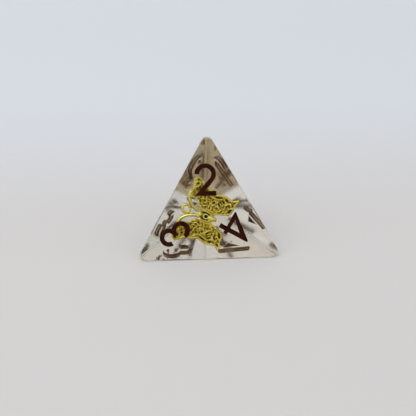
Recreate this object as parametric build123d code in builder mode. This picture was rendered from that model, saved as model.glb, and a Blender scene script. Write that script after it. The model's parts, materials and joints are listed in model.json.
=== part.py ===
from build123d import *
import math
import os

# Four-sided die in clear resin, with painted numerals and a filigree butterfly cast inside.
# The origin is the centre of the base face, +Z is up and the rear corner points along +Y.
# All sizes are in millimetres.

os.makedirs("parts", exist_ok=True)

# ---------------------------------------------------------------- driving dimensions
edge = 22.0                        # length between two sharp corners
edge_radius = 0.15                 # polish on the long edges
corner_depth = 2.5                 # from a sharp corner to the centre of its rounding
numeral_height = 0.218 * edge
numeral_stroke = 0.15 * numeral_height
recess_depth = 0.35                # floor of a numeral, below the face
recess_draft = 20.0                # degrees, so that a numeral narrows to its floor
ink_gap = 0.05                     # surface of the paint, below the face

charm_depth = 1.25                 # middle of the charm, behind the front face
charm_centre = (-0.4, -0.01)       # on the front face's own axes
charm_turn = -24.0                 # degrees, from the front face's X axis to the tail
wing_thickness = 0.6
body_thickness = 0.9
thorax_radius = 0.5
abdomen_place = 1.05               # where the body starts to taper, behind the thorax
tail_radius = 0.17
tail_place = 1.83                  # behind the thorax, on the charm's axis
head_radius = 0.42
head_place = -0.88                 # ahead of the thorax, on the charm's axis
antenna_width = 0.5
ring_centre = -3.07                # along the charm's axis, ahead of the thorax
ring_outer_radius = 0.78
ring_inner_radius = 0.45
grille_depth = 0.4                 # slots pressed into the front of each hindwing

# ---------------------------------------------------------------- the tetrahedron's geometry
height = edge * math.sqrt(2 / 3)
base_circumradius = edge / math.sqrt(3)
base_inradius = base_circumradius / 2
half_dihedral = math.asin(1 / math.sqrt(3))      # also the angle between a height and an edge
body_centre = Vector(0, 0, height / 4)

corners = {
    1: Vector(0, base_circumradius, 0),
    2: Vector(0, 0, height),
    3: Vector(-edge / 2, -base_inradius, 0),
    4: Vector(edge / 2, -base_inradius, 0),
}
faces = {
    "front": (2, 3, 4),
    "base": (1, 3, 4),
    "left": (1, 2, 3),
    "right": (1, 2, 4),
}

# Sideways and upward place of each numeral, from the middle of its face towards its corner
numeral_places = {
    1: (0.0, 0.25 * edge),
    2: (-0.016 * edge, 0.25 * edge),
    3: (0.019 * edge, 0.25 * edge),
    4: (-0.033 * edge, 0.201 * edge),
}

# Two numerals of the side faces stand apart from the places above
shifted_places = {
    ("left", 3): (0.019 * edge, 0.21 * edge),
    ("right", 4): (0.033 * edge, 0.25 * edge),
}


def face_centre(face_name):
    """Middle of a face."""
    return sum((corners[number] for number in faces[face_name]), Vector(0, 0, 0)) / 3


def numeral_place(face_name, number):
    """Place of one numeral on its face."""
    return shifted_places.get((face_name, number), numeral_places[number])


def face_plane(face_name, corner_number):
    """Plane on a face, looking out, whose Y axis points at one of the face's corners."""
    outward = face_centre(face_name) - body_centre
    upward = corners[corner_number] - face_centre(face_name)
    return Plane(origin=face_centre(face_name), x_dir=upward.cross(outward), z_dir=outward)


def corner_plane(corner_number):
    """Plane at a sharp corner, whose Z axis points out of the body."""
    return Plane(origin=corners[corner_number], z_dir=corners[corner_number] - body_centre)


# ---------------------------------------------------------------- numerals
def numeral_one():
    """Upright stem with a slanted flag at its top."""
    half_height = numeral_height / 2
    stem_right = 0.16 * numeral_height
    stem_left = stem_right - numeral_stroke
    flag_tip = stem_left - 0.2 * numeral_height
    with BuildSketch() as numeral:
        with BuildLine():
            Polyline(
                (stem_left, -half_height),
                (stem_right, -half_height),
                (stem_right, half_height),
                (stem_left, half_height),
                (flag_tip, half_height - 0.17 * numeral_height),
                (flag_tip, half_height - 0.17 * numeral_height - numeral_stroke),
                (stem_left, half_height - numeral_stroke * 1.1),
                close=True,
            )
        make_face()
    return numeral.sketch


def numeral_two():
    """Round bowl that runs tangent into a straight diagonal, on a flat foot."""
    half_height = numeral_height / 2
    outer = 0.331 * numeral_height
    inner = outer - numeral_stroke
    bowl_height = half_height - outer
    foot_top = -half_height + numeral_stroke
    slope = math.radians(49.3)
    tangent = (math.sin(slope), -math.cos(slope))
    outer_end = (outer * tangent[0], bowl_height + outer * tangent[1])
    inner_end = (inner * tangent[0], bowl_height + inner * tangent[1])
    crotch = outer_end[0] - (outer_end[1] - foot_top) / math.tan(slope)
    heel = inner_end[0] - (inner_end[1] + half_height) / math.tan(slope)
    with BuildSketch() as numeral:
        with BuildLine():
            ThreePointArc((-outer, bowl_height), (0, half_height), outer_end)
            Polyline(
                outer_end,
                (crotch, foot_top),
                (outer, foot_top),
                (outer, -half_height),
                (heel, -half_height),
                inner_end,
            )
            ThreePointArc(inner_end, (0, bowl_height + inner), (-inner, bowl_height))
            Line((-inner, bowl_height), (-outer, bowl_height))
        make_face()
    return numeral.sketch


def numeral_three():
    """Two round bowls, one above the other, that share the stroke at the waist."""
    bowl = (numeral_height + numeral_stroke) / 4
    bowl_offset = numeral_height / 2 - bowl
    waist_length = 0.09 * numeral_height
    with BuildSketch() as numeral:
        with Locations((0, bowl_offset), (0, -bowl_offset)):
            Circle(bowl)
        with Locations((0, bowl_offset), (0, -bowl_offset)):
            Circle(bowl - numeral_stroke, mode=Mode.SUBTRACT)
        with Locations((-bowl, 0)):
            Rectangle(2 * bowl, 2 * bowl_offset, mode=Mode.SUBTRACT)
        with Locations((-waist_length / 2, 0)):
            Rectangle(waist_length, numeral_stroke)
    return numeral.sketch


def numeral_four():
    """Stem and diagonal that close at the top, with a crossbar that runs past the stem."""
    half_height = numeral_height / 2
    half_width = 0.375 * numeral_height
    stem_right = half_width - 0.09 * numeral_height
    stem_left = stem_right - numeral_stroke
    bar_bottom = -half_height + 0.21 * numeral_height
    bar_top = bar_bottom + 0.85 * numeral_stroke
    with BuildSketch() as numeral:
        with BuildLine():
            Polyline(
                (stem_left, -half_height),
                (stem_right, -half_height),
                (stem_right, bar_bottom),
                (half_width, bar_bottom),
                (half_width, bar_top),
                (stem_right, bar_top),
                (stem_right, half_height),
                (stem_right - 0.45 * numeral_stroke, half_height),
                (-half_width, bar_bottom + 0.3 * numeral_stroke),
                (-half_width, bar_bottom),
                (stem_left, bar_bottom),
                close=True,
            )
        make_face()
        with BuildLine():
            Polyline(
                (stem_left, bar_top),
                (stem_left, half_height - 0.35 * numeral_height),
                (-half_width + 1.5 * numeral_stroke, bar_top),
                close=True,
            )
        make_face(mode=Mode.SUBTRACT)
    return numeral.sketch


numerals = {1: numeral_one(), 2: numeral_two(), 3: numeral_three(), 4: numeral_four()}


# ---------------------------------------------------------------- butterfly charm
def charm_plane(depth):
    """Plane parallel to the front face: X runs from head to tail, Y to the upper wing."""
    front = face_plane("front", 2)
    turn = math.radians(charm_turn)
    return Plane(
        origin=front.from_local_coords((charm_centre[0], charm_centre[1], -depth)),
        x_dir=front.x_dir * math.cos(turn) + front.y_dir * math.sin(turn),
        z_dir=front.z_dir,
    )


wing_front = charm_plane(charm_depth - wing_thickness / 2)
charm_middle = charm_plane(charm_depth)

with BuildPart() as butterfly_charm:
    with BuildSketch(wing_front):
        # One side's wings: the leading edge and curled tip, then the hindwing and its tail
        with BuildLine():
            Spline((-0.75, 0.5), (-1.5, 1.12), (-2.15, 1.7), (-2.7, 1.92), (-3.25, 1.8))
            Spline(
                (-3.25, 1.8), (-3.28, 2.8), (-3.38, 3.5), (-3.62, 4.3), (-3.4, 4.85),
                (-2.85, 5.1), (-2.2, 4.7), (-1.7, 4.2), (-1.0, 4.07), (0.1, 3.6),
            )
            Spline(
                (0.1, 3.6), (0.65, 3.75), (1.3, 3.87), (2.0, 3.84), (2.8, 3.66),
                (3.25, 3.9), (3.6, 4.1), (3.83, 3.83), (3.74, 3.4), (3.53, 2.95),
            )
            Spline(
                (3.53, 2.95), (3.55, 2.3), (3.45, 1.75), (3.1, 1.3), (2.3, 0.97), (1.5, 0.75), (1.1, 0.45),
            )
            Polyline((1.1, 0.45), (1.1, 0), (-0.75, 0), (-0.75, 0.5))
        make_face()
        # The antenna, bowed out and back to meet the wing's leading edge
        with BuildLine():
            antenna_path = ThreePointArc((-0.95, 0.4), (-2.8, 1.02), (-3.45, 2.4))
        SlotArc(antenna_path, antenna_width)
        mirror(about=Plane.XZ)
        # The hanging ring, between the antennae
        with Locations((ring_centre, 0)):
            Circle(ring_outer_radius)
            Circle(ring_inner_radius, mode=Mode.SUBTRACT)
    extrude(amount=-wing_thickness)
    # The slots of the hindwing's grille, pressed part of the way through
    with BuildSketch(wing_front):
        with Locations((1.15, 2.4), (1.48, 2.62), (1.81, 2.84)):
            SlotOverall(0.55, 0.18, rotation=130)
        mirror(about=Plane.XZ)
    extrude(amount=-grille_depth, mode=Mode.SUBTRACT)
    # The body: tapered from thorax to tail and thicker than the wings, with a smaller head
    with BuildSketch(charm_middle):
        Circle(thorax_radius)
        with Locations((abdomen_place, 0)):
            Circle(thorax_radius)
        with Locations((tail_place, 0)):
            Circle(tail_radius)
        make_hull()
        with Locations((head_place, 0)):
            Circle(head_radius)
    extrude(amount=body_thickness / 2, both=True)
butterfly_charm.part.label = "butterfly_charm"
export_step(butterfly_charm.part, "parts/butterfly_charm.step")

# ---------------------------------------------------------------- rounding tool for the corners
# A sphere that is tangent to the three polished edges, and the waste outside it. Z = 0 is the
# sharp corner and the waste stops where the sphere meets the edges.
ridge_drop = edge_radius * (1 / math.sin(half_dihedral) - 1)
corner_radius = corner_depth * math.sin(half_dihedral) - ridge_drop
meeting_radius = corner_radius * math.cos(half_dihedral)
meeting_height = -corner_depth + corner_radius * math.sin(half_dihedral)
arc_middle = math.radians(62)

with BuildPart() as corner_waste:
    with BuildSketch(Plane.XZ):
        with BuildLine():
            ThreePointArc(
                (0, corner_radius - corner_depth),
                (corner_radius * math.cos(arc_middle), corner_radius * math.sin(arc_middle) - corner_depth),
                (meeting_radius, meeting_height),
            )
            Polyline(
                (meeting_radius, meeting_height),
                (corner_depth, meeting_height),
                (corner_depth, 1),
                (0, 1),
                (0, corner_radius - corner_depth),
            )
        make_face()
    revolve(axis=Axis.Z)

# ---------------------------------------------------------------- clear resin body
with BuildPart() as resin_body:
    with BuildSketch() as base_triangle:
        RegularPolygon(base_circumradius, 3, rotation=90)
    loft(sections=[base_triangle.sketch.face(), Vertex(*corners[2])])
    fillet(resin_body.edges(), edge_radius)
    with Locations(*[corner_plane(number) for number in corners]):
        add(corner_waste.part, mode=Mode.SUBTRACT)
    for face_name, face_numerals in faces.items():
        for number in face_numerals:
            with BuildSketch(face_plane(face_name, number)):
                with Locations(numeral_place(face_name, number)):
                    add(numerals[number])
            extrude(amount=-recess_depth, taper=recess_draft, mode=Mode.SUBTRACT)
    add(butterfly_charm.part, mode=Mode.SUBTRACT)
resin_body.part.label = "resin_body"
export_step(resin_body.part, "parts/resin_body.step")

# ---------------------------------------------------------------- painted numerals
for face_name, face_numerals in faces.items():
    for number in face_numerals:
        with BuildPart() as ink:
            with BuildSketch(face_plane(face_name, number)):
                with Locations(numeral_place(face_name, number)):
                    add(numerals[number])
            extrude(amount=-recess_depth, taper=recess_draft)
            split(bisect_by=face_plane(face_name, number).offset(-ink_gap), keep=Keep.BOTTOM)
        ink.part.label = f"ink_{face_name}_{number}"
        export_step(ink.part, f"parts/{ink.part.label}.step")
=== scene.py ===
import json
import math

import bmesh
import bpy
from mathutils import Matrix, Vector
from mathutils.geometry import tessellate_polygon


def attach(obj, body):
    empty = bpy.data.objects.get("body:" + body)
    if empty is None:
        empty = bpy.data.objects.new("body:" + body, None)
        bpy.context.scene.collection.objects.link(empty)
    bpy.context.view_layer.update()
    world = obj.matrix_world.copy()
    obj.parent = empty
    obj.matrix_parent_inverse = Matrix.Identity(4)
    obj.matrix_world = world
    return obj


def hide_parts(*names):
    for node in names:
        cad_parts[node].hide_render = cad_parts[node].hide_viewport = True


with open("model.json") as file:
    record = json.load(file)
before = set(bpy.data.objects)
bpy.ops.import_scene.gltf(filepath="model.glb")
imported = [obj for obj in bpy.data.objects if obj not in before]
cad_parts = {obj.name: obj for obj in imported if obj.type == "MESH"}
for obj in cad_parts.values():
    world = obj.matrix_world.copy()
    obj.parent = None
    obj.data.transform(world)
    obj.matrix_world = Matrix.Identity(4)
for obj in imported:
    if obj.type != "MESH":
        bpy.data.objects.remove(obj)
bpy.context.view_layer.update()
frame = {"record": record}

MM = 0.001

# ---------------------------------------------------------------- the tetrahedron, from the frame
mounts = {mount["name"]: mount for mount in frame["record"]["mounts"]}
FACES = {"front": (2, 3, 4), "base": (1, 3, 4), "left": (1, 2, 3), "right": (1, 2, 4)}
HEIGHT = 3 * mounts["front_face"]["pos_m"][2]
EDGE = HEIGHT / math.sqrt(2 / 3)
CIRCUMRADIUS = EDGE / math.sqrt(3)
CORNERS = {
    1: Vector((0, CIRCUMRADIUS, 0)),
    2: Vector((0, 0, HEIGHT)),
    3: Vector((-EDGE / 2, -CIRCUMRADIUS / 2, 0)),
    4: Vector((EDGE / 2, -CIRCUMRADIUS / 2, 0)),
}
BODY_CENTRE = Vector((0, 0, HEIGHT / 4))
HALF_DIHEDRAL = math.asin(1 / math.sqrt(3))

EDGE_RADIUS = 0.15 * MM                # polish on the long edges
CORNER_DEPTH = 2.5 * MM                # from a sharp corner to the centre of its rounding
NUMERAL_HEIGHT = 0.218 * EDGE
STROKE = 0.15 * NUMERAL_HEIGHT
RECESS_DEPTH = 0.35 * MM               # floor of a numeral, below the face
DRAFT = math.tan(math.radians(20))     # how fast a recess narrows to its floor
INK_GAP = 0.05 * MM                    # surface of the paint, below the face
INK_OVERLAP = 0.008 * MM               # how far the paint wets into the resin's walls
FLOOR_GAP = 0.006 * MM                 # air between the paint and the recess's floor
CUTTER_RISE = 0.1 * MM                 # how far a recess's cutter stands out of the face

# Sideways and upward place of each numeral, from the middle of its face towards its corner
NUMERAL_PLACES = {
    1: (0.0, 0.25 * EDGE),
    2: (-0.016 * EDGE, 0.25 * EDGE),
    3: (0.019 * EDGE, 0.25 * EDGE),
    4: (-0.033 * EDGE, 0.201 * EDGE),
}
# Two numerals of the side faces stand apart from the places above
SHIFTED_PLACES = {
    ("left", 3): (0.019 * EDGE, 0.21 * EDGE),
    ("right", 4): (0.033 * EDGE, 0.25 * EDGE),
}

# Bodies of a numeral through levels of (height, growth sideways), from the face inwards. The paint's
# skin is sunk in its middle and climbs the walls at its rim.
PAINT_LEVELS = [
    (-INK_GAP, -0.08 * MM),
    (-0.75 * INK_GAP, -0.035 * MM),
    (-0.45 * INK_GAP, -0.45 * INK_GAP * DRAFT),
    (-RECESS_DEPTH, -RECESS_DEPTH * DRAFT),
]
CUTTER_LEVELS = [
    (CUTTER_RISE, CUTTER_RISE * DRAFT - INK_OVERLAP),
    (-RECESS_DEPTH - FLOOR_GAP, -RECESS_DEPTH * DRAFT - INK_OVERLAP),
]


def face_middle(face_name):
    """Middle of one of the tetrahedron's sharp faces."""
    return sum((CORNERS[number] for number in FACES[face_name]), Vector()) / 3


NORMALS = {name: (face_middle(name) - BODY_CENTRE).normalized() for name in FACES}


def face_matrix(face_name, number):
    """Places a flat drawing on a face: Z looks out and Y points at one of the face's corners."""
    middle, outward = face_middle(face_name), NORMALS[face_name]
    upward = (CORNERS[number] - middle).normalized()
    sideways = upward.cross(outward)
    matrix = Matrix((sideways, upward, outward)).transposed().to_4x4()
    matrix.translation = middle
    return matrix


# ---------------------------------------------------------------- node materials
def new_material(name):
    """A material with its node tree and its shader."""
    material = bpy.data.materials.new(name)
    material.use_nodes = True
    tree = material.node_tree
    return material, tree, tree.nodes["Principled BSDF"]


def add_node(tree, kind, **settings):
    """A node, with values for its sockets or its own settings."""
    node = tree.nodes.new(kind)
    for key, value in settings.items():
        if key in node.inputs:
            node.inputs[key].default_value = value
        else:
            setattr(node, key, value)
    return node


def map_range(tree, source, low, high, start=0.0, end=1.0, **settings):
    """Spreads a node's value between two ends."""
    ramp = add_node(tree, "ShaderNodeMapRange", **settings)
    tree.links.new(source, ramp.inputs["Value"])
    for socket, value in (("From Min", start), ("From Max", end), ("To Min", low), ("To Max", high)):
        ramp.inputs[socket].default_value = value
    return ramp.outputs["Result"]


def object_noise(tree, scale, stretch=(1, 1, 1), turn=(0, 0, 0), **settings):
    """Noise in the object's own space; the scale is in cells per metre."""
    place = add_node(tree, "ShaderNodeTexCoord")
    mapping = add_node(tree, "ShaderNodeMapping")
    mapping.inputs["Scale"].default_value = stretch
    mapping.inputs["Rotation"].default_value = turn
    noise = add_node(tree, "ShaderNodeTexNoise", Scale=scale, **settings)
    tree.links.new(place.outputs["Object"], mapping.inputs["Vector"])
    tree.links.new(mapping.outputs["Vector"], noise.inputs["Vector"])
    return noise.outputs["Fac"]


def add_bump(tree, height, distance, strength, below=None):
    """Fine relief, on top of any relief given below it."""
    bump = add_node(tree, "ShaderNodeBump", Distance=distance, Strength=strength)
    tree.links.new(height, bump.inputs["Height"])
    if below is not None:
        tree.links.new(below, bump.inputs["Normal"])
    return bump.outputs["Normal"]


def add_tint(tree, source, *stops, interpolation="LINEAR"):
    """Colours a node's value; each stop is a position and its red, green and blue."""
    tint = add_node(tree, "ShaderNodeValToRGB")
    tint.color_ramp.interpolation = interpolation
    elements = tint.color_ramp.elements
    first, *between, last = stops
    for element, (position, colour) in ((elements[0], first), (elements[1], last)):
        element.position = position
        element.color = (*colour, 1)
    for position, colour in between:
        elements.new(position).color = (*colour, 1)
    tree.links.new(source, tint.inputs["Fac"])
    return tint.outputs["Color"]


def add_math(tree, operation, *values):
    """One step of arithmetic; each value is a number or another node's output."""
    node = add_node(tree, "ShaderNodeMath", operation=operation)
    for socket, value in zip(node.inputs, values):
        if isinstance(value, bpy.types.NodeSocket):
            tree.links.new(value, socket)
        else:
            socket.default_value = value
    return node.outputs["Value"]


# ---------------------------------------------------------------- mesh helpers
def place_in_scene(name, data):
    """A new object in the scene."""
    item = bpy.data.objects.new(name, data)
    bpy.context.scene.collection.objects.link(item)
    return item


def mesh_from(body, name):
    """Turns a bmesh into a mesh, and frees it."""
    mesh = bpy.data.meshes.new(name)
    body.to_mesh(mesh)
    body.free()
    return mesh


def evaluated_mesh(item):
    """An object's mesh with its modifiers applied."""
    bpy.context.view_layer.update()
    return bpy.data.meshes.new_from_object(item.evaluated_get(bpy.context.evaluated_depsgraph_get()))


def new_piece(name, mesh, material, node):
    """A visible piece that takes the place of one node of the frame."""
    piece = place_in_scene(name, mesh)
    piece.data.materials.clear()
    piece.data.materials.append(material)
    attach(piece, "root")
    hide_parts(node)
    return piece


def arc(centre, radius, start, end, steps=24):
    """Points on an arc, angles in degrees."""
    angles = [math.radians(start + (end - start) * step / steps) for step in range(steps + 1)]
    return [(centre[0] + radius * math.cos(a), centre[1] + radius * math.sin(a)) for a in angles]


# ---------------------------------------------------------------- numerals
# Each outline is a list of closed loops, of which the first is the outer one.
def outline_one():
    """Upright stem with a slanted flag at its top."""
    half, right = NUMERAL_HEIGHT / 2, 0.16 * NUMERAL_HEIGHT
    left = right - STROKE
    tip = left - 0.2 * NUMERAL_HEIGHT
    flag = half - 0.17 * NUMERAL_HEIGHT
    return [[
        (left, -half), (right, -half), (right, half), (left, half),
        (tip, flag), (tip, flag - STROKE), (left, half - STROKE * 1.1),
    ]]


def outline_two():
    """Round bowl that runs tangent into a straight diagonal, on a flat foot."""
    half = NUMERAL_HEIGHT / 2
    outer = 0.331 * NUMERAL_HEIGHT
    inner = outer - STROKE
    bowl = half - outer
    foot = -half + STROKE
    slope = 49.3
    turn = slope - 90
    outer_arc = arc((0, bowl), outer, 180, turn, 40)
    inner_arc = arc((0, bowl), inner, turn, 180, 40)
    grade = math.tan(math.radians(slope))
    crotch = outer_arc[-1][0] - (outer_arc[-1][1] - foot) / grade
    heel = inner_arc[0][0] - (inner_arc[0][1] + half) / grade
    return [outer_arc + [(crotch, foot), (outer, foot), (outer, -half), (heel, -half)] + inner_arc]


def outline_three():
    """Two round bowls, one above the other, that share the stroke at the waist."""
    bowl = (NUMERAL_HEIGHT + STROKE) / 4
    inner = bowl - STROKE
    offset = NUMERAL_HEIGHT / 2 - bowl
    waist = 0.09 * NUMERAL_HEIGHT
    # where the bowls' outer circles cross, on the right
    crossing = math.degrees(math.asin(offset / bowl))
    upper = arc((0, offset), bowl, 180, -crossing, 36)
    lower = arc((0, -offset), bowl, crossing, -180, 36)[1:]
    lower_hole = arc((0, -offset), inner, -180, 90, 36)
    upper_hole = arc((0, offset), inner, -90, 180, 36)
    stub = [(-waist, -STROKE / 2), (-waist, STROKE / 2)]
    return [upper + lower + lower_hole + stub + upper_hole]


def outline_four():
    """Stem and diagonal that close at the top, with a crossbar that runs past the stem."""
    half, width = NUMERAL_HEIGHT / 2, 0.375 * NUMERAL_HEIGHT
    right = width - 0.09 * NUMERAL_HEIGHT
    left = right - STROKE
    low = -half + 0.21 * NUMERAL_HEIGHT
    high = low + 0.85 * STROKE
    outer = [
        (left, -half), (right, -half), (right, low), (width, low), (width, high), (right, high),
        (right, half), (right - 0.45 * STROKE, half), (-width, low + 0.3 * STROKE), (-width, low),
        (left, low),
    ]
    hole = [(left, high), (left, half - 0.35 * NUMERAL_HEIGHT), (-width + 1.5 * STROKE, high)]
    return [outer, hole]


OUTLINES = {1: outline_one(), 2: outline_two(), 3: outline_three(), 4: outline_four()}


def grown(loop, distance):
    """A closed loop moved outwards, away from what it encloses."""
    count = len(loop)
    area = sum(loop[k - 1][0] * loop[k][1] - loop[k][0] * loop[k - 1][1] for k in range(count))
    turn = 1 if area > 0 else -1
    moved = []
    for index in range(count):
        before, here, after = (Vector(loop[(index + k) % count]) for k in (-1, 0, 1))
        first, second = (here - before).normalized(), (after - here).normalized()
        normals = Vector((first.y, -first.x)) + Vector((second.y, -second.x))
        moved.append(here + normals * (2 * turn * distance / normals.length_squared))
    return moved


def numeral_mesh(name, face_name, number, levels):
    """A numeral's closed body on its face, through the given levels."""
    body = bmesh.new()
    place = Vector(SHIFTED_PLACES.get((face_name, number), NUMERAL_PLACES[number]))
    rings = []
    for height, growth in levels:
        ring = []
        for index, loop in enumerate(OUTLINES[number]):
            flat = grown(loop, growth if index == 0 else -growth)
            ring.append([Vector((point.x + place.x, point.y + place.y, height)) for point in flat])
        rings.append(ring)
    verts = [[[body.verts.new(point) for point in loop] for loop in ring] for ring in rings]
    for upper, lower in zip(verts, verts[1:]):
        for top_loop, low_loop in zip(upper, lower):
            for k in range(len(top_loop)):
                body.faces.new((top_loop[k - 1], top_loop[k], low_loop[k], low_loop[k - 1]))
    for level in (0, -1):
        flat_verts = [vert for loop in verts[level] for vert in loop]
        for triangle in tessellate_polygon(rings[level]):
            body.faces.new([flat_verts[corner] for corner in triangle])
    bmesh.ops.recalc_face_normals(body, faces=body.faces)
    mesh = mesh_from(body, name)
    mesh.transform(face_matrix(face_name, number))
    return mesh


# ---------------------------------------------------------------- clear resin body
def pairs(names):
    """The three faces of a corner, two by two."""
    return [(names[index], names[(index + 1) % 3]) for index in range(3)]


def inside_ridge(offset, first, second):
    """True where a point, measured from a sharp corner, is within the polished edge of two faces."""
    along = first.cross(second).normalized()
    across = offset - along * offset.dot(along)
    axis_gap = across + (first + second).normalized() * (EDGE_RADIUS / math.sin(HALF_DIHEDRAL))
    in_wedge = axis_gap.cross(first).dot(along) < 0 < axis_gap.cross(second).dot(along)
    facing = axis_gap.dot(first + second) > 0
    return not (facing and in_wedge) or axis_gap.length < EDGE_RADIUS - 0.01 * MM


def inside_ridges(point, corner, own_faces):
    """True where a point is within all three polished edges that leave a corner."""
    return all(inside_ridge(point - corner, NORMALS[a], NORMALS[b]) for a, b in pairs(own_faces))


def edge_end_points(number, own_faces, centre, radius):
    """Ends of the polished edges that leave a corner, where each meets the corner's sphere."""
    corner, points = CORNERS[number], []
    for first, second in pairs(own_faces):
        shared = next(n for n in FACES[first] if n in FACES[second] and n != number)
        along = (CORNERS[shared] - corner).normalized()
        middle_normal = (NORMALS[first] + NORMALS[second]).normalized()
        axis_point = corner - middle_normal * (EDGE_RADIUS / math.sin(HALF_DIHEDRAL))
        for step in range(13):
            normal = NORMALS[first].slerp(NORMALS[second], step / 12)
            start = axis_point + normal * EDGE_RADIUS
            reach = (centre - start).dot(along)
            gap = (start + along * reach - centre).length
            points.append(start + along * (reach - math.sqrt(max(radius**2 - gap**2, 0))))
    return points


def rim_points(corner, own_faces, centre, radius):
    """Round edges of a corner's sphere on the three faces."""
    points = []
    for name in own_faces:
        normal = NORMALS[name]
        foot = centre + normal * (CORNER_DEPTH / 3)
        rim = math.sqrt(radius**2 - (CORNER_DEPTH / 3) ** 2)
        upward = (corner - foot - normal * (corner - foot).dot(normal)).normalized()
        for step in range(-40, 41):
            angle = math.radians(step * 1.5)
            point = foot + (upward * math.cos(angle) + upward.cross(normal) * math.sin(angle)) * rim
            if inside_ridges(point, corner, own_faces):
                points.append(point)
    return points


def sphere_points(corner, own_faces, centre, radius):
    """A corner's sphere, inside the three faces and the polished edges between them."""
    outward = (corner - BODY_CENTRE).normalized()
    points = []
    seed = bmesh.new()
    bmesh.ops.create_icosphere(seed, subdivisions=5, radius=radius)
    for vert in seed.verts:
        point = centre + vert.co
        if vert.co.dot(outward) < 0.5 * radius:
            continue
        if max((point - corner).dot(NORMALS[name]) for name in own_faces) > -0.02 * MM:
            continue
        if inside_ridges(point, corner, own_faces):
            points.append(point)
    seed.free()
    return points


def resin_hull():
    """The tetrahedron with polished edges, its corners rounded by spheres that touch the edges."""
    rounding, weld, nearly_flat = 1e-8, 2e-6, math.radians(0.05)
    ridge_drop = EDGE_RADIUS * (1 / math.sin(HALF_DIHEDRAL) - 1)
    radius = CORNER_DEPTH * math.sin(HALF_DIHEDRAL) - ridge_drop
    points = []
    for number, corner in CORNERS.items():
        centre = corner - (corner - BODY_CENTRE).normalized() * CORNER_DEPTH
        own_faces = [name for name in FACES if number in FACES[name]]
        points += edge_end_points(number, own_faces, centre, radius)
        points += rim_points(corner, own_faces, centre, radius)
        points += sphere_points(corner, own_faces, centre, radius)
    body = bmesh.new()
    for point in points:
        if all((point - CORNERS[FACES[name][0]]).dot(NORMALS[name]) < rounding for name in FACES):
            body.verts.new(point)
    hull = bmesh.ops.convex_hull(body, input=body.verts)
    spare = {v for v in hull["geom_interior"] + hull["geom_unused"] if isinstance(v, bmesh.types.BMVert)}
    bmesh.ops.delete(body, geom=list(spare), context="VERTS")
    bmesh.ops.remove_doubles(body, verts=body.verts, dist=weld)
    bmesh.ops.dissolve_limit(body, angle_limit=nearly_flat, verts=body.verts, edges=body.edges)
    bmesh.ops.recalc_face_normals(body, faces=body.faces)
    return mesh_from(body, "resin")


def resin_material():
    """Hand-polished clear resin: slightly wavy faces, with fine polishing streaks."""
    material, tree, shader = new_material("clear_resin")
    shader.inputs["Base Color"].default_value = (1, 1, 1, 1)
    shader.inputs["Transmission Weight"].default_value = 1
    shader.inputs["IOR"].default_value = 1.5
    haze = object_noise(tree, 300, Detail=3.0)
    tree.links.new(map_range(tree, haze, 0.07, 0.15), shader.inputs["Roughness"])
    waves = add_bump(tree, object_noise(tree, 160, Detail=1.0), 0.1 * MM, 0.15)
    streaks = object_noise(tree, 900, stretch=(1, 1, 0.08), Detail=2.0)
    tree.links.new(add_bump(tree, streaks, 0.02 * MM, 0.1, waves), shader.inputs["Normal"])
    absorption = add_node(tree, "ShaderNodeVolumeAbsorption", Color=(0.78, 0.60, 0.17, 1), Density=20.0)
    tree.links.new(absorption.outputs["Volume"], tree.nodes["Material Output"].inputs["Volume"])
    return material


def paint_materials():
    """The numerals' paint: burgundy outside. Inside, where it lies on the resin, it is paler and browner as
    painted light, with the walls darker than the floor as painted shade.
    """
    outside, tree, shader = new_material("burgundy_paint")
    shader.inputs["Specular IOR Level"].default_value = 0.05
    patches = object_noise(tree, 1500, Detail=3.0)
    tint = add_tint(tree, patches, (0.35, (0.017, 0.0025, 0.0008)), (0.75, (0.052, 0.011, 0.002)))
    tree.links.new(tint, shader.inputs["Base Color"])
    tree.links.new(map_range(tree, patches, 0.45, 0.7), shader.inputs["Roughness"])
    tree.links.new(add_bump(tree, patches, 0.02 * MM, 0.4), shader.inputs["Normal"])

    materials = [outside]
    # painted light: paler, browner copies of the paint for its faces that look into the resin, darker on the
    # walls than on the floor
    for name, dark, light in (
        ("paint_walls_painted_light", (0.12, 0.058, 0.026), (0.33, 0.21, 0.11)),
        ("paint_floor_painted_light", (0.26, 0.17, 0.085), (0.58, 0.46, 0.30)),
    ):
        inside, tree, shader = new_material(name)
        shader.inputs["Specular IOR Level"].default_value = 0.0
        shader.inputs["Roughness"].default_value = 0.8
        tint = add_tint(tree, object_noise(tree, 700, Detail=2.0), (0.3, dark), (0.7, light))
        tree.links.new(tint, shader.inputs["Base Color"])
        materials.append(inside)
    return materials


def paint_numeral(face_name, number, materials):
    """One numeral's paint, with a material each for its skin, its walls and its floor."""
    mesh = numeral_mesh("paint", face_name, number, PAINT_LEVELS)
    skin, walls, floor = materials
    painted = new_piece(f"paint_{face_name}_{number}", mesh, skin, f"ink_{face_name}_{number}")
    painted.data.materials.append(walls)
    painted.data.materials.append(floor)
    for polygon in painted.data.polygons:
        facing_out = polygon.normal.dot(NORMALS[face_name])
        # faces that look into the resin take the painted-light copies of the paint
        polygon.material_index = 0 if facing_out > 0.3 else 2 if facing_out < -0.9 else 1


def cut_recesses(resin, cutter_mesh):
    """Cuts every numeral's recess out of the resin, and smooths its shading across the round edges."""
    cutters = place_in_scene("cutters", cutter_mesh)
    boolean = resin.modifiers.new("numerals", "BOOLEAN")
    boolean.operation = "DIFFERENCE"
    boolean.solver = "MANIFOLD"
    boolean.object = cutters
    cut_mesh = evaluated_mesh(resin)
    resin.modifiers.clear()
    resin.data = cut_mesh
    bpy.data.objects.remove(cutters)
    cut_mesh.shade_smooth()
    cut_mesh.set_sharp_from_angle(angle=math.radians(32))
    weighted = resin.modifiers.new("flat_faces", "WEIGHTED_NORMAL")
    weighted.keep_sharp = True
    weighted.weight = 100


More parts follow.
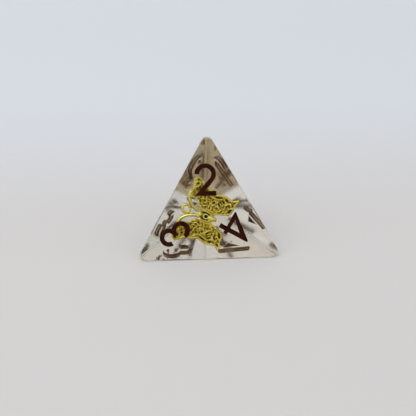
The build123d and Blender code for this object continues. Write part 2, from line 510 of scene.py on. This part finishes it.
resin = new_piece("resin_casting", resin_hull(), resin_material(), "resin_body")
paints = paint_materials()
cutter_body = bmesh.new()
for face_name, numbers in FACES.items():
    for number in numbers:
        paint_numeral(face_name, number, paints)
        cutter_body.from_mesh(numeral_mesh("cutter", face_name, number, CUTTER_LEVELS))
cut_recesses(resin, mesh_from(cutter_body, "cutters"))


# ---------------------------------------------------------------- filigree butterfly
CHARM_DEPTH = 1.25 * MM                # middle of the charm, behind the front face
CHARM_CENTRE = (-0.4 * MM, -0.01 * MM)
CHARM_TURN = -24.0                     # degrees, from the front face's X axis to the tail

# Half of the butterfly, in millimetres: X runs from head to tail, Y out along the wing and Z forward.
VOXEL = 0.04
SHEET_TOP, SHEET_LOW = 0.06, -0.14
BACKING_TOP, BACKING_LOW = -0.1, -0.26
SCROLL_HEIGHT, BEAD_HEIGHT = 0.11, 0.12
HOLLOW_LEVEL, RELIEF_RANGE = -0.08, 0.34   # level of the darkest patina and painted shade, and the rise from it to the brightest painted highlight
BACK_RELIEF = 0.5                      # how bright the gilding is on the charm's back
RING_CENTRE, RING_RADIUS, RING_WIRE = (-3.07, 0.0), 0.58, 0.2
LEADING_EDGE = [(-0.75, 0.5), (-1.5, 1.12), (-2.15, 1.7), (-2.7, 1.92), (-3.25, 1.8)]
LOBE = [
    (-3.25, 1.8), (-3.27, 2.8), (-3.36, 3.5), (-3.59, 4.3), (-3.37, 4.82), (-2.85, 5.06), (-2.22, 4.67),
    (-1.72, 4.17), (-1.0, 4.04), (0.1, 3.57),
]
TRAILING_EDGE = [
    (0.1, 3.57), (0.65, 3.72), (1.3, 3.84), (2.0, 3.81), (2.8, 3.63), (3.25, 3.87), (3.58, 4.06),
    (3.8, 3.81), (3.71, 3.4), (3.51, 2.95),
]
BACK_EDGE = [(3.51, 2.95), (3.52, 2.3), (3.42, 1.75), (3.07, 1.31), (2.3, 1.0), (1.5, 0.78), (1.1, 0.48)]
ANTENNA = [(-0.95, 0.36), (-1.6, 0.46), (-2.2, 0.68), (-2.8, 1.06), (-3.2, 1.55), (-3.42, 2.15), (-3.3, 2.7)]

# Pits between the scrolls: place, long and short radius, and turn in degrees
PITS = [
    # curled tip of the forewing
    (-2.83, 4.05, 0.16, 0.13, 0), (-2.55, 3.2, 0.15, 0.11, 30), (-2.28, 3.56, 0.2, 0.13, -50),
    (-2.95, 4.62, 0.17, 0.09, 20),
    # forewing
    (-1.73, 2.33, 0.16, 0.1, 60), (-1.16, 2.7, 0.2, 0.09, 110), (-1.0, 2.08, 0.15, 0.12, 90),
    (-0.55, 2.33, 0.1, 0.09, 90), (-0.35, 1.88, 0.17, 0.08, 110), (-1.57, 1.83, 0.18, 0.1, 115),
    (-1.37, 1.38, 0.11, 0.09, 0), (-0.87, 1.58, 0.18, 0.08, 0), (-0.6, 1.25, 0.14, 0.12, 0),
    (-0.37, 2.71, 0.2, 0.1, 5), (-2.35, 2.3, 0.14, 0.08, 10), (-1.85, 3.1, 0.17, 0.1, 70),
    (-1.3, 3.4, 0.18, 0.09, 10), (-0.7, 3.5, 0.17, 0.08, -15), (-0.85, 2.95, 0.12, 0.08, 60),
    # between the wings
    (0.1, 2.64, 0.15, 0.09, 70), (0.4, 2.28, 0.2, 0.12, 85),
    # hindwing
    (1.0, 1.67, 0.13, 0.11, 0), (1.86, 1.5, 0.11, 0.09, 60), (1.68, 1.16, 0.13, 0.07, 20),
    (2.25, 1.3, 0.14, 0.07, -20), (1.88, 2.2, 0.14, 0.09, 30), (2.78, 2.47, 0.11, 0.08, 20),
    (3.12, 2.82, 0.13, 0.1, 60), (2.58, 3.27, 0.11, 0.08, 80), (1.55, 1.98, 0.13, 0.06, 10),
    (0.55, 1.2, 0.14, 0.07, 80), (0.07, 1.3, 0.2, 0.05, 88), (0.62, 1.75, 0.12, 0.07, 40),
]
# Curved slots: the points along each, and half its width
SLOTS = [
    # the grille
    ([(1.05, 2.47), (1.22, 2.3), (1.38, 2.13)], 0.11),
    ([(1.13, 2.7), (1.3, 2.66), (1.5, 2.48)], 0.09),
    ([(1.38, 3.0), (1.6, 2.88), (1.86, 2.68)], 0.12),
    ([(1.78, 3.25), (2.05, 3.38), (2.32, 3.18)], 0.11),
    # the groove inside the trailing edge, and the tail's
    ([(0.3, 3.1), (0.7, 3.2), (1.3, 3.38)], 0.13), ([(3.0, 3.28), (3.3, 3.42), (3.6, 3.72)], 0.14),
    # the scallops at the hindwing's corner
    ([(2.72, 2.76), (2.4, 2.55), (2.3, 2.26), (2.46, 2.02)], 0.09),
    ([(3.14, 2.26), (3.0, 1.95), (2.84, 1.62)], 0.14),
    # the groove along the thorax
    ([(-0.68, 0.3), (-0.2, 0.46), (0.2, 0.46), (0.7, 0.35)], 0.11),
]
# Raised wires: the points along each, and its radius
SCROLLS = [
    # rings and scrolls of the curled tip
    ([(-3.12, 3.55), (-3.2, 4.15), (-2.95, 4.42), (-2.6, 4.3), (-2.5, 3.95), (-2.72, 3.75)], 0.09),
    ([(-2.9, 3.1), (-2.95, 3.5), (-2.62, 3.66)], 0.08),
    ([(-2.2, 2.15), (-2.45, 2.7), (-2.8, 2.95)], 0.09), ([(-2.05, 3.1), (-2.0, 3.6), (-1.8, 3.85)], 0.08),
    # the wing's own border, below the groove
    ([(-1.0, 3.75), (-0.5, 3.25), (-0.3, 3.0), (0.1, 2.92), (0.5, 2.95), (0.9, 3.06), (1.5, 3.3)], 0.09),
    # arches of the forewing
    ([(-1.95, 2.2), (-1.85, 2.52), (-1.6, 2.62), (-1.38, 2.5), (-1.3, 2.25)], 0.08),
    ([(-1.55, 2.15), (-1.42, 2.32), (-1.5, 2.42)], 0.06),
    ([(-1.4, 2.95), (-1.05, 3.05), (-0.95, 2.75), (-0.9, 2.4), (-0.8, 2.2)], 0.08),
    ([(-1.8, 1.95), (-1.78, 1.7), (-1.55, 1.58), (-1.25, 1.6)], 0.08),
    ([(-1.3, 1.95), (-1.1, 1.8), (-0.75, 1.85), (-0.65, 2.1), (-0.8, 2.3)], 0.07),
    ([(-0.5, 2.12), (-0.3, 2.2), (-0.15, 2.02), (-0.18, 1.8)], 0.07),
    ([(-0.62, 2.5), (-0.35, 2.52), (-0.12, 2.62), (-0.1, 2.85)], 0.07),
    ([(-1.25, 1.56), (-1.05, 1.42), (-0.88, 1.34), (-0.7, 1.46), (-0.45, 1.6),
      (-0.2, 1.6), (-0.1, 1.3)], 0.1),
    ([(-1.5, 1.3), (-1.28, 1.22), (-1.15, 1.1)], 0.07),
    # between the wings
    ([(0.2, 2.4), (0.28, 2.65), (0.48, 2.62), (0.62, 2.35), (0.58, 2.08), (0.35, 1.98)], 0.08),
    ([(0.1, 1.95), (0.3, 1.82), (0.6, 1.95)], 0.07), ([(-0.02, 2.35), (0.05, 2.1), (0.0, 1.85)], 0.07),
    # flutes that fan out of the body
    ([(0.22, 1.1), (0.33, 1.62)], 0.1), ([(0.76, 1.08), (0.84, 1.45)], 0.09),
    ([(1.12, 1.1), (1.26, 1.42)], 0.09), ([(-0.3, 1.0), (-0.34, 1.25)], 0.08),
    # grille bars and the border round them
    ([(1.24, 2.54), (1.48, 2.28)], 0.08), ([(1.42, 2.8), (1.68, 2.58)], 0.08),
    ([(1.62, 3.22), (1.8, 3.08), (2.02, 2.9), (2.08, 2.68), (1.98, 2.45)], 0.09),
    ([(0.82, 2.75), (0.84, 2.45), (0.98, 2.15), (1.2, 1.98)], 0.09),
    ([(1.6, 2.14), (1.72, 2.28), (1.76, 2.42)], 0.07), ([(2.12, 3.52), (2.28, 3.47), (2.43, 3.3)], 0.08),
    # scallops
    ([(2.66, 2.96), (2.38, 2.82), (2.14, 2.45), (2.18, 2.05)], 0.08),
    ([(2.56, 2.34), (2.75, 2.24), (2.98, 2.38), (3.26, 2.52)], 0.12),
    ([(2.76, 3.1), (2.74, 2.9), (2.95, 2.72)], 0.09),
    # arches of the hindwing
    ([(0.74, 1.72), (0.98, 1.9), (1.3, 1.82), (1.52, 1.68)], 0.09),
    ([(1.38, 1.25), (1.6, 1.42), (1.75, 1.72)], 0.1), ([(2.0, 1.5), (2.3, 1.52)], 0.1),
    ([(2.42, 1.4), (2.55, 1.75), (2.5, 1.95)], 0.09), ([(1.25, 1.15), (1.35, 0.98), (1.7, 0.98)], 0.07),
    ([(1.98, 1.25), (2.4, 1.12)], 0.07),
    # ridges along the thorax
    ([(-0.75, 0.55), (-0.3, 0.7), (0.25, 0.64), (0.85, 0.5)], 0.1),
    ([(-0.95, 0.75), (-0.3, 0.95), (0.4, 0.92), (1.1, 0.85)], 0.08),
]
# Beads between the wires: place and radius
BEADS = [
    ((1.6, 1.41), 0.14), ((-2.2, 2.1), 0.12), ((-0.68, 0.78), 0.17), ((2.06, 1.95), 0.15),
    ((-0.9, 1.35), 0.12), ((2.74, 3.36), 0.1), ((-0.1, 1.42), 0.12), ((-1.8, 1.85), 0.08),
    ((2.2, 2.95), 0.1), ((-2.3, 4.4), 0.12),
]
# Segments of the abdomen: place along the body, and radius
SEGMENTS = [(0.62, 0.44), (0.85, 0.47), (1.08, 0.47), (1.3, 0.42), (1.5, 0.34), (1.67, 0.26)]


def smooth_path(points, steps=8):
    """Points along a smooth curve through the given ones."""
    last = len(points) - 1
    path = []
    for index in range(last):
        a, b, c, d = (Vector(points[min(max(index + k, 0), last)]) for k in (-1, 0, 1, 2))
        for step in range(steps):
            t = step / steps
            bend = (2 * a - 5 * b + 4 * c - d) * t**2 + (3 * b - 3 * c + d - a) * t**3
            path.append(0.5 * (2 * b + (c - a) * t + bend))
    path.append(Vector(points[-1]))
    return path


def sides_of(path, index, closed=False):
    """Unit vector to the left of a path at one of its points."""
    count = len(path)
    ahead = path[(index + 1) % count] if closed else path[min(index + 1, count - 1)]
    behind = path[index - 1] if closed else path[max(index - 1, 0)]
    along = (ahead - behind).normalized()
    return Vector((-along.y, along.x))


def beside(path, distance):
    """A path moved to its left."""
    return [point + sides_of(path, index) * distance for index, point in enumerate(path)]


def slot_loop(points, half_width):
    """A closed loop round a curved slot that narrows to its ends."""
    path = smooth_path(points, 5)
    count = len(path) - 1
    swell = [half_width * (0.45 + 0.55 * math.sin(math.pi * index / count)) for index in range(count + 1)]
    left = [point + sides_of(path, index) * swell[index] for index, point in enumerate(path)]
    right = [point - sides_of(path, index) * swell[index] for index, point in enumerate(path)]
    return left + right[::-1]


def oval(centre, long_radius, short_radius, turn=0, steps=14):
    """A closed oval loop; the turn is in degrees."""
    spin = Matrix.Rotation(math.radians(turn), 2)
    angles = [2 * math.pi * step / steps for step in range(steps)]
    return [
        Vector(centre) + spin @ Vector((long_radius * math.cos(a), short_radius * math.sin(a)))
        for a in angles
    ]


def wire(body, path, radius, height=0.0, closed=False, taper=1.0):
    """A round wire along a flat path; the taper scales its girth towards its end."""
    sides, count = 8, len(path)
    rings = []
    for index, point in enumerate(path):
        left = sides_of(path, index, closed)
        girth = radius * (1 + (taper - 1) * index / count)
        ring = []
        for side in range(sides):
            angle = 2 * math.pi * side / sides
            spot = point + left * girth * math.cos(angle)
            ring.append(body.verts.new((spot.x, spot.y, height + girth * math.sin(angle))))
        rings.append(ring)
    for index in range(count if closed else count - 1):
        first, second = rings[index], rings[(index + 1) % count]
        for side in range(sides):
            following = (side + 1) % sides
            body.faces.new((first[side], first[following], second[following], second[side]))
    if not closed:
        body.faces.new(rings[0])
        body.faces.new(reversed(rings[-1]))


def bead(body, place, radius, height=0.0, stretch=(1, 1, 1)):
    """A ball, stretched along its axes."""
    matrix = Matrix.Translation((place[0], place[1], height)) @ Matrix.Diagonal((*stretch, 1))
    bmesh.ops.create_icosphere(body, subdivisions=2, radius=radius, matrix=matrix)


def plate(body, outline, holes, low, high):
    """A flat sheet with holes, between two heights."""
    curve = bpy.data.curves.new("plate", "CURVE")
    curve.dimensions = "2D"
    curve.fill_mode = "BOTH"
    curve.extrude = (high - low) / 2
    for loop in [outline, *holes]:
        spline = curve.splines.new("POLY")
        spline.points.add(len(loop) - 1)
        for point, place in zip(spline.points, loop):
            point.co = (place[0], place[1], 0, 1)
        spline.use_cyclic_u = True
    holder = place_in_scene("plate", curve)
    mesh = evaluated_mesh(holder)
    bpy.data.objects.remove(holder)
    mesh.transform(Matrix.Translation((0, 0, (low + high) / 2)))
    sheet = bmesh.new()
    sheet.from_mesh(mesh)
    bmesh.ops.remove_doubles(sheet, verts=sheet.verts, dist=1e-5)
    sheet.to_mesh(mesh)
    sheet.free()
    body.from_mesh(mesh)


def wing_hollows():
    """The hollows pressed into one wing, which the gold's colour darkens with patina and painted shade: pits
    between the scrolls, and longer slots.
    """
    pits = [oval((x, y), long_radius, short_radius, turn) for x, y, long_radius, short_radius, turn in PITS]
    return pits + [slot_loop(points, half_width) for points, half_width in SLOTS]


def wing():
    """One side of the butterfly, lying flat: backing, pressed sheet, rims, scrolls and beads."""
    body = bmesh.new()
    lobe, trailing, back = smooth_path(LOBE), smooth_path(TRAILING_EDGE), smooth_path(BACK_EDGE)
    outline = smooth_path(LEADING_EDGE)[:-1] + lobe[:-1] + trailing[:-1] + back
    backing = outline + [Vector((1.1, -0.02)), Vector((-0.75, -0.02))]
    # the sheet leaves the middle of the thorax open
    cup = [Vector((0.06 + 0.29 * math.cos(a), -0.02 + 0.27 * math.sin(a))) for a in
           (math.pi * step / 10 for step in range(11))]
    sheet = outline + [Vector((1.1, -0.02)), *cup, Vector((-0.75, -0.02))]
    plate(body, backing, [], BACKING_LOW, BACKING_TOP)
    plate(body, sheet, wing_hollows(), SHEET_LOW, SHEET_TOP)
    # rims, set in so that they end flush with the outline
    wire(body, beside(smooth_path(LEADING_EDGE), -0.1), 0.1, 0.1)
    wire(body, beside(lobe, -0.15), 0.15, 0.02)
    wire(body, beside(trailing, -0.17), 0.17, 0.0)
    wire(body, beside(back, -0.14), 0.14, 0.02)
    for path, radius in SCROLLS:
        wire(body, smooth_path(path, 6), radius, SCROLL_HEIGHT)
    for place, radius in BEADS:
        bead(body, place, radius, BEAD_HEIGHT, (1, 1, 0.9))
    return mesh_from(body, "wing")


def charm_body():
    """Head, cupped thorax and abdomen, both antennae and the hanging ring."""
    body = bmesh.new()
    bead(body, (-0.9, 0), 0.4, 0.0, (1, 1, 0.75))
    for side in (1, -1):
        bead(body, (-0.78, side * 0.16), 0.12, 0.25)
        wire(body, smooth_path([(x, y * side) for x, y in ANTENNA]), 0.25, 0.0, taper=1.1)
    # brim of the thorax
    wire(body, oval((0.06, -0.02), 0.38, 0.33, 0, 24), 0.1, 0.17, closed=True)
    for place, radius in SEGMENTS:
        bead(body, (place, 0), radius, 0.02, (0.5, 1, 0.72))
    wire(body, smooth_path([(0.62, -0.04), (1.0, 0.02), (1.66, 0.02)]), 0.1, 0.26)
    wire(body, oval(RING_CENTRE, RING_RADIUS, RING_RADIUS, 0, 28), RING_WIRE, 0.0, closed=True)
    return mesh_from(body, "charm_body")


def gold_material():
    """Antiqued gilt, coloured by height: bright on the raised wires, as polish and painted highlight, olive
    on the sheet, and dark brown in the hollows, as patina and painted shade.
    """
    material, tree, shader = new_material("antique_gold_with_painted_shade")
    shader.inputs["Metallic"].default_value = 1
    relief = add_node(tree, "ShaderNodeAttribute", attribute_name="relief")
    grain = object_noise(tree, 3000, Detail=2.0)
    tint = add_tint(
        tree,
        add_math(tree, "MULTIPLY_ADD", grain, 0.3, relief.outputs["Fac"]),
        (0.2, (0.06, 0.034, 0.001)),
        (0.5, (0.40, 0.29, 0.02)),
        (0.75, (0.86, 0.67, 0.093)),
        (1.0, (1.0, 0.95, 0.28)),
    )
    tree.links.new(tint, shader.inputs["Base Color"])
    tree.links.new(map_range(tree, grain, 0.18, 0.38), shader.inputs["Roughness"])
    tree.links.new(add_bump(tree, grain, 0.02 * MM, 0.3), shader.inputs["Normal"])
    return material


def butterfly_mesh():
    """The whole charm, cast in one: both sides and the body melted together."""
    body = bmesh.new()
    half = wing()
    body.from_mesh(half)
    half.transform(Matrix.Diagonal((1, -1, 1, 1)))
    half.flip_normals()
    body.from_mesh(half)
    body.from_mesh(charm_body())
    holder = place_in_scene("charm_raw", mesh_from(body, "charm_raw"))
    melt = holder.modifiers.new("melt", "REMESH")
    melt.mode = "VOXEL"
    melt.voxel_size = VOXEL
    soften = holder.modifiers.new("soften", "SMOOTH")
    soften.factor = 0.5
    soften.iterations = 1
    mesh = evaluated_mesh(holder)
    bpy.data.objects.remove(holder)
    relief = mesh.attributes.new("relief", "FLOAT", "POINT")
    # height sets the gold's colour: painted shade with the patina low down, and painted highlight on the
    # raised wires
    for vertex in mesh.vertices:
        raised = min(max((vertex.co.z - HOLLOW_LEVEL) / RELIEF_RANGE, 0), 1)
        relief.data[vertex.index].value = BACK_RELIEF if vertex.normal.z < -0.3 else raised
    place = Matrix.Translation((*CHARM_CENTRE, -CHARM_DEPTH))
    turn = Matrix.Rotation(math.radians(CHARM_TURN), 4, "Z")
    mesh.transform(face_matrix("front", 2) @ (place @ turn) @ Matrix.Scale(MM, 4))
    mesh.shade_smooth()
    return mesh


new_piece("filigree_butterfly", butterfly_mesh(), gold_material(), "butterfly_charm")


# ---------------------------------------------------------------- stage
def stage_material():
    """Pale paper: cooler towards the back, with warm light painted on it just where the die covers it."""
    material, tree, shader = new_material("paper_sweep")
    place = add_node(tree, "ShaderNodeNewGeometry")
    split = add_node(tree, "ShaderNodeSeparateXYZ")
    tree.links.new(place.outputs["Position"], split.inputs[0])
    across, back = split.outputs["X"], split.outputs["Y"]
    paper = add_node(tree, "ShaderNodeMix", data_type="RGBA")
    paper.inputs["A"].default_value = (0.66, 0.638, 0.62, 1)
    paper.inputs["B"].default_value = (0.69, 0.71, 0.745, 1)
    cooler = map_range(tree, back, 0.0, 1.0, 0.0, 0.06, interpolation_type="SMOOTHSTEP")
    tree.links.new(cooler, paper.inputs["Factor"])
    # the footprint is a triangle, so this is how far a point lies from its middle, towards a side
    half_back = add_math(tree, "MULTIPLY", back, 0.5)
    sideways = add_math(tree, "MULTIPLY_ADD", add_math(tree, "ABSOLUTE", across), math.sqrt(3) / 2, half_back)
    reach = add_math(tree, "MAXIMUM", sideways, add_math(tree, "MULTIPLY", back, -1.0))
    side = EDGE / (2 * math.sqrt(3))
    # painted warm light: the paper that the die covers is tinted as if lit through the resin, and the resin's
    # upper half shows it
    painted_light_under_die = map_range(tree, reach, 0.0, 1.0, side, side - 1.2 * MM, interpolation_type="SMOOTHSTEP")
    painted_warm_light = add_node(tree, "ShaderNodeMix", data_type="RGBA")
    painted_warm_light.inputs["B"].default_value = (0.99, 0.86, 0.63, 1)
    tree.links.new(painted_light_under_die, painted_warm_light.inputs["Factor"])
    tree.links.new(paper.outputs["Result"], painted_warm_light.inputs["A"])
    tree.links.new(painted_warm_light.outputs["Result"], shader.inputs["Base Color"])
    shader.inputs["Roughness"].default_value = 0.8
    shader.inputs["Specular IOR Level"].default_value = 0.1
    return material


def paper_sweep():
    """Floor that curves up behind the die into a backdrop."""
    reach, radius, rise = 1.2, 0.12, 1.0
    start = 0.10
    # a hair of air under the die, so that its base mirrors as a polished face does
    floor = -0.05 * MM
    profile = [(-reach, floor), (start, floor)]
    for step in range(1, 17):
        angle = math.radians(90 * step / 16)
        profile.append((start + radius * math.sin(angle), floor + radius - radius * math.cos(angle)))
    profile.append((start + radius, rise))
    body = bmesh.new()
    rows = [[body.verts.new((side, y, z)) for y, z in profile] for side in (-reach, reach)]
    for index in range(len(profile) - 1):
        body.faces.new((rows[0][index], rows[1][index], rows[1][index + 1], rows[0][index + 1]))
    mesh = mesh_from(body, "paper_sweep")
    mesh.shade_smooth()
    mesh.materials.append(stage_material())
    place_in_scene("paper_sweep", mesh)


def make_room():
    """A pale room all round, dim in one spot behind the camera."""
    world = bpy.data.worlds.new("studio")
    bpy.context.scene.world = world
    world.use_nodes = True
    tree = world.node_tree
    backdrop = tree.nodes["Background"]
    backdrop.inputs["Strength"].default_value = 0.8
    sky = add_node(tree, "ShaderNodeTexCoord")
    facing = add_node(tree, "ShaderNodeVectorMath", operation="DOT_PRODUCT")
    facing.inputs[1].default_value = Vector((0.055, -0.981, 0.188))
    tree.links.new(sky.outputs["Generated"], facing.inputs[0])
    pale, dim = (0.955, (0.95, 0.97, 1.0)), (0.99, (0.06, 0.055, 0.05))
    room = add_tint(tree, facing.outputs["Value"], pale, dim, interpolation="EASE")
    tree.links.new(room, backdrop.inputs["Color"])


def softbox(name, place, aim, size, power, colour):
    """A rectangular lamp that looks at a point."""
    lamp = bpy.data.lights.new(name, "AREA")
    lamp.shape = "RECTANGLE"
    lamp.size, lamp.size_y = size
    lamp.energy = power
    lamp.color = colour
    box = place_in_scene(name, lamp)
    box.location = place
    box.rotation_euler = (Vector(aim) - Vector(place)).to_track_quat("-Z", "Y").to_euler()


paper_sweep()
make_room()
softbox("key_softbox", (-0.25, -0.15, 0.6), (0, 0, 0), (0.5, 0.5), 1.1, (1, 0.98, 0.96))
softbox("backdrop_softbox", (0, -0.05, 0.6), (0, 0.22, 0.35), (0.5, 0.2), 0.5, (1, 1, 1))


# ---------------------------------------------------------------- camera
def make_camera():
    """Looks at the die from in front and above."""
    azimuth, elevation = math.radians(-3.58), math.radians(28)
    distance = 8 * EDGE
    focal_pixels, frame_pixels, sensor = 1180, 416, 36
    back = Vector((
        math.sin(azimuth) * math.cos(elevation),
        -math.cos(azimuth) * math.cos(elevation),
        math.sin(elevation),
    ))
    right = Vector((math.cos(azimuth), math.sin(azimuth), 0))
    up = back.cross(right)
    aim = Vector((0, 0, 0.3 * EDGE)) + right * (0.0086 * EDGE) - up * (0.0557 * EDGE)
    data = bpy.data.cameras.new("camera")
    data.sensor_width = sensor
    data.lens = focal_pixels / frame_pixels * sensor
    data.clip_start = 0.001
    camera = place_in_scene("camera", data)
    turn = Matrix((right, up, back)).transposed().to_4x4()
    camera.matrix_world = Matrix.Translation(aim + back * distance) @ turn
    bpy.context.scene.camera = camera


make_camera()

scene = bpy.context.scene
scene.view_settings.view_transform = "Standard"
scene.cycles.max_bounces = 32
scene.cycles.glossy_bounces = 32
scene.cycles.transmission_bounces = 32
scene.cycles.diffuse_bounces = 6
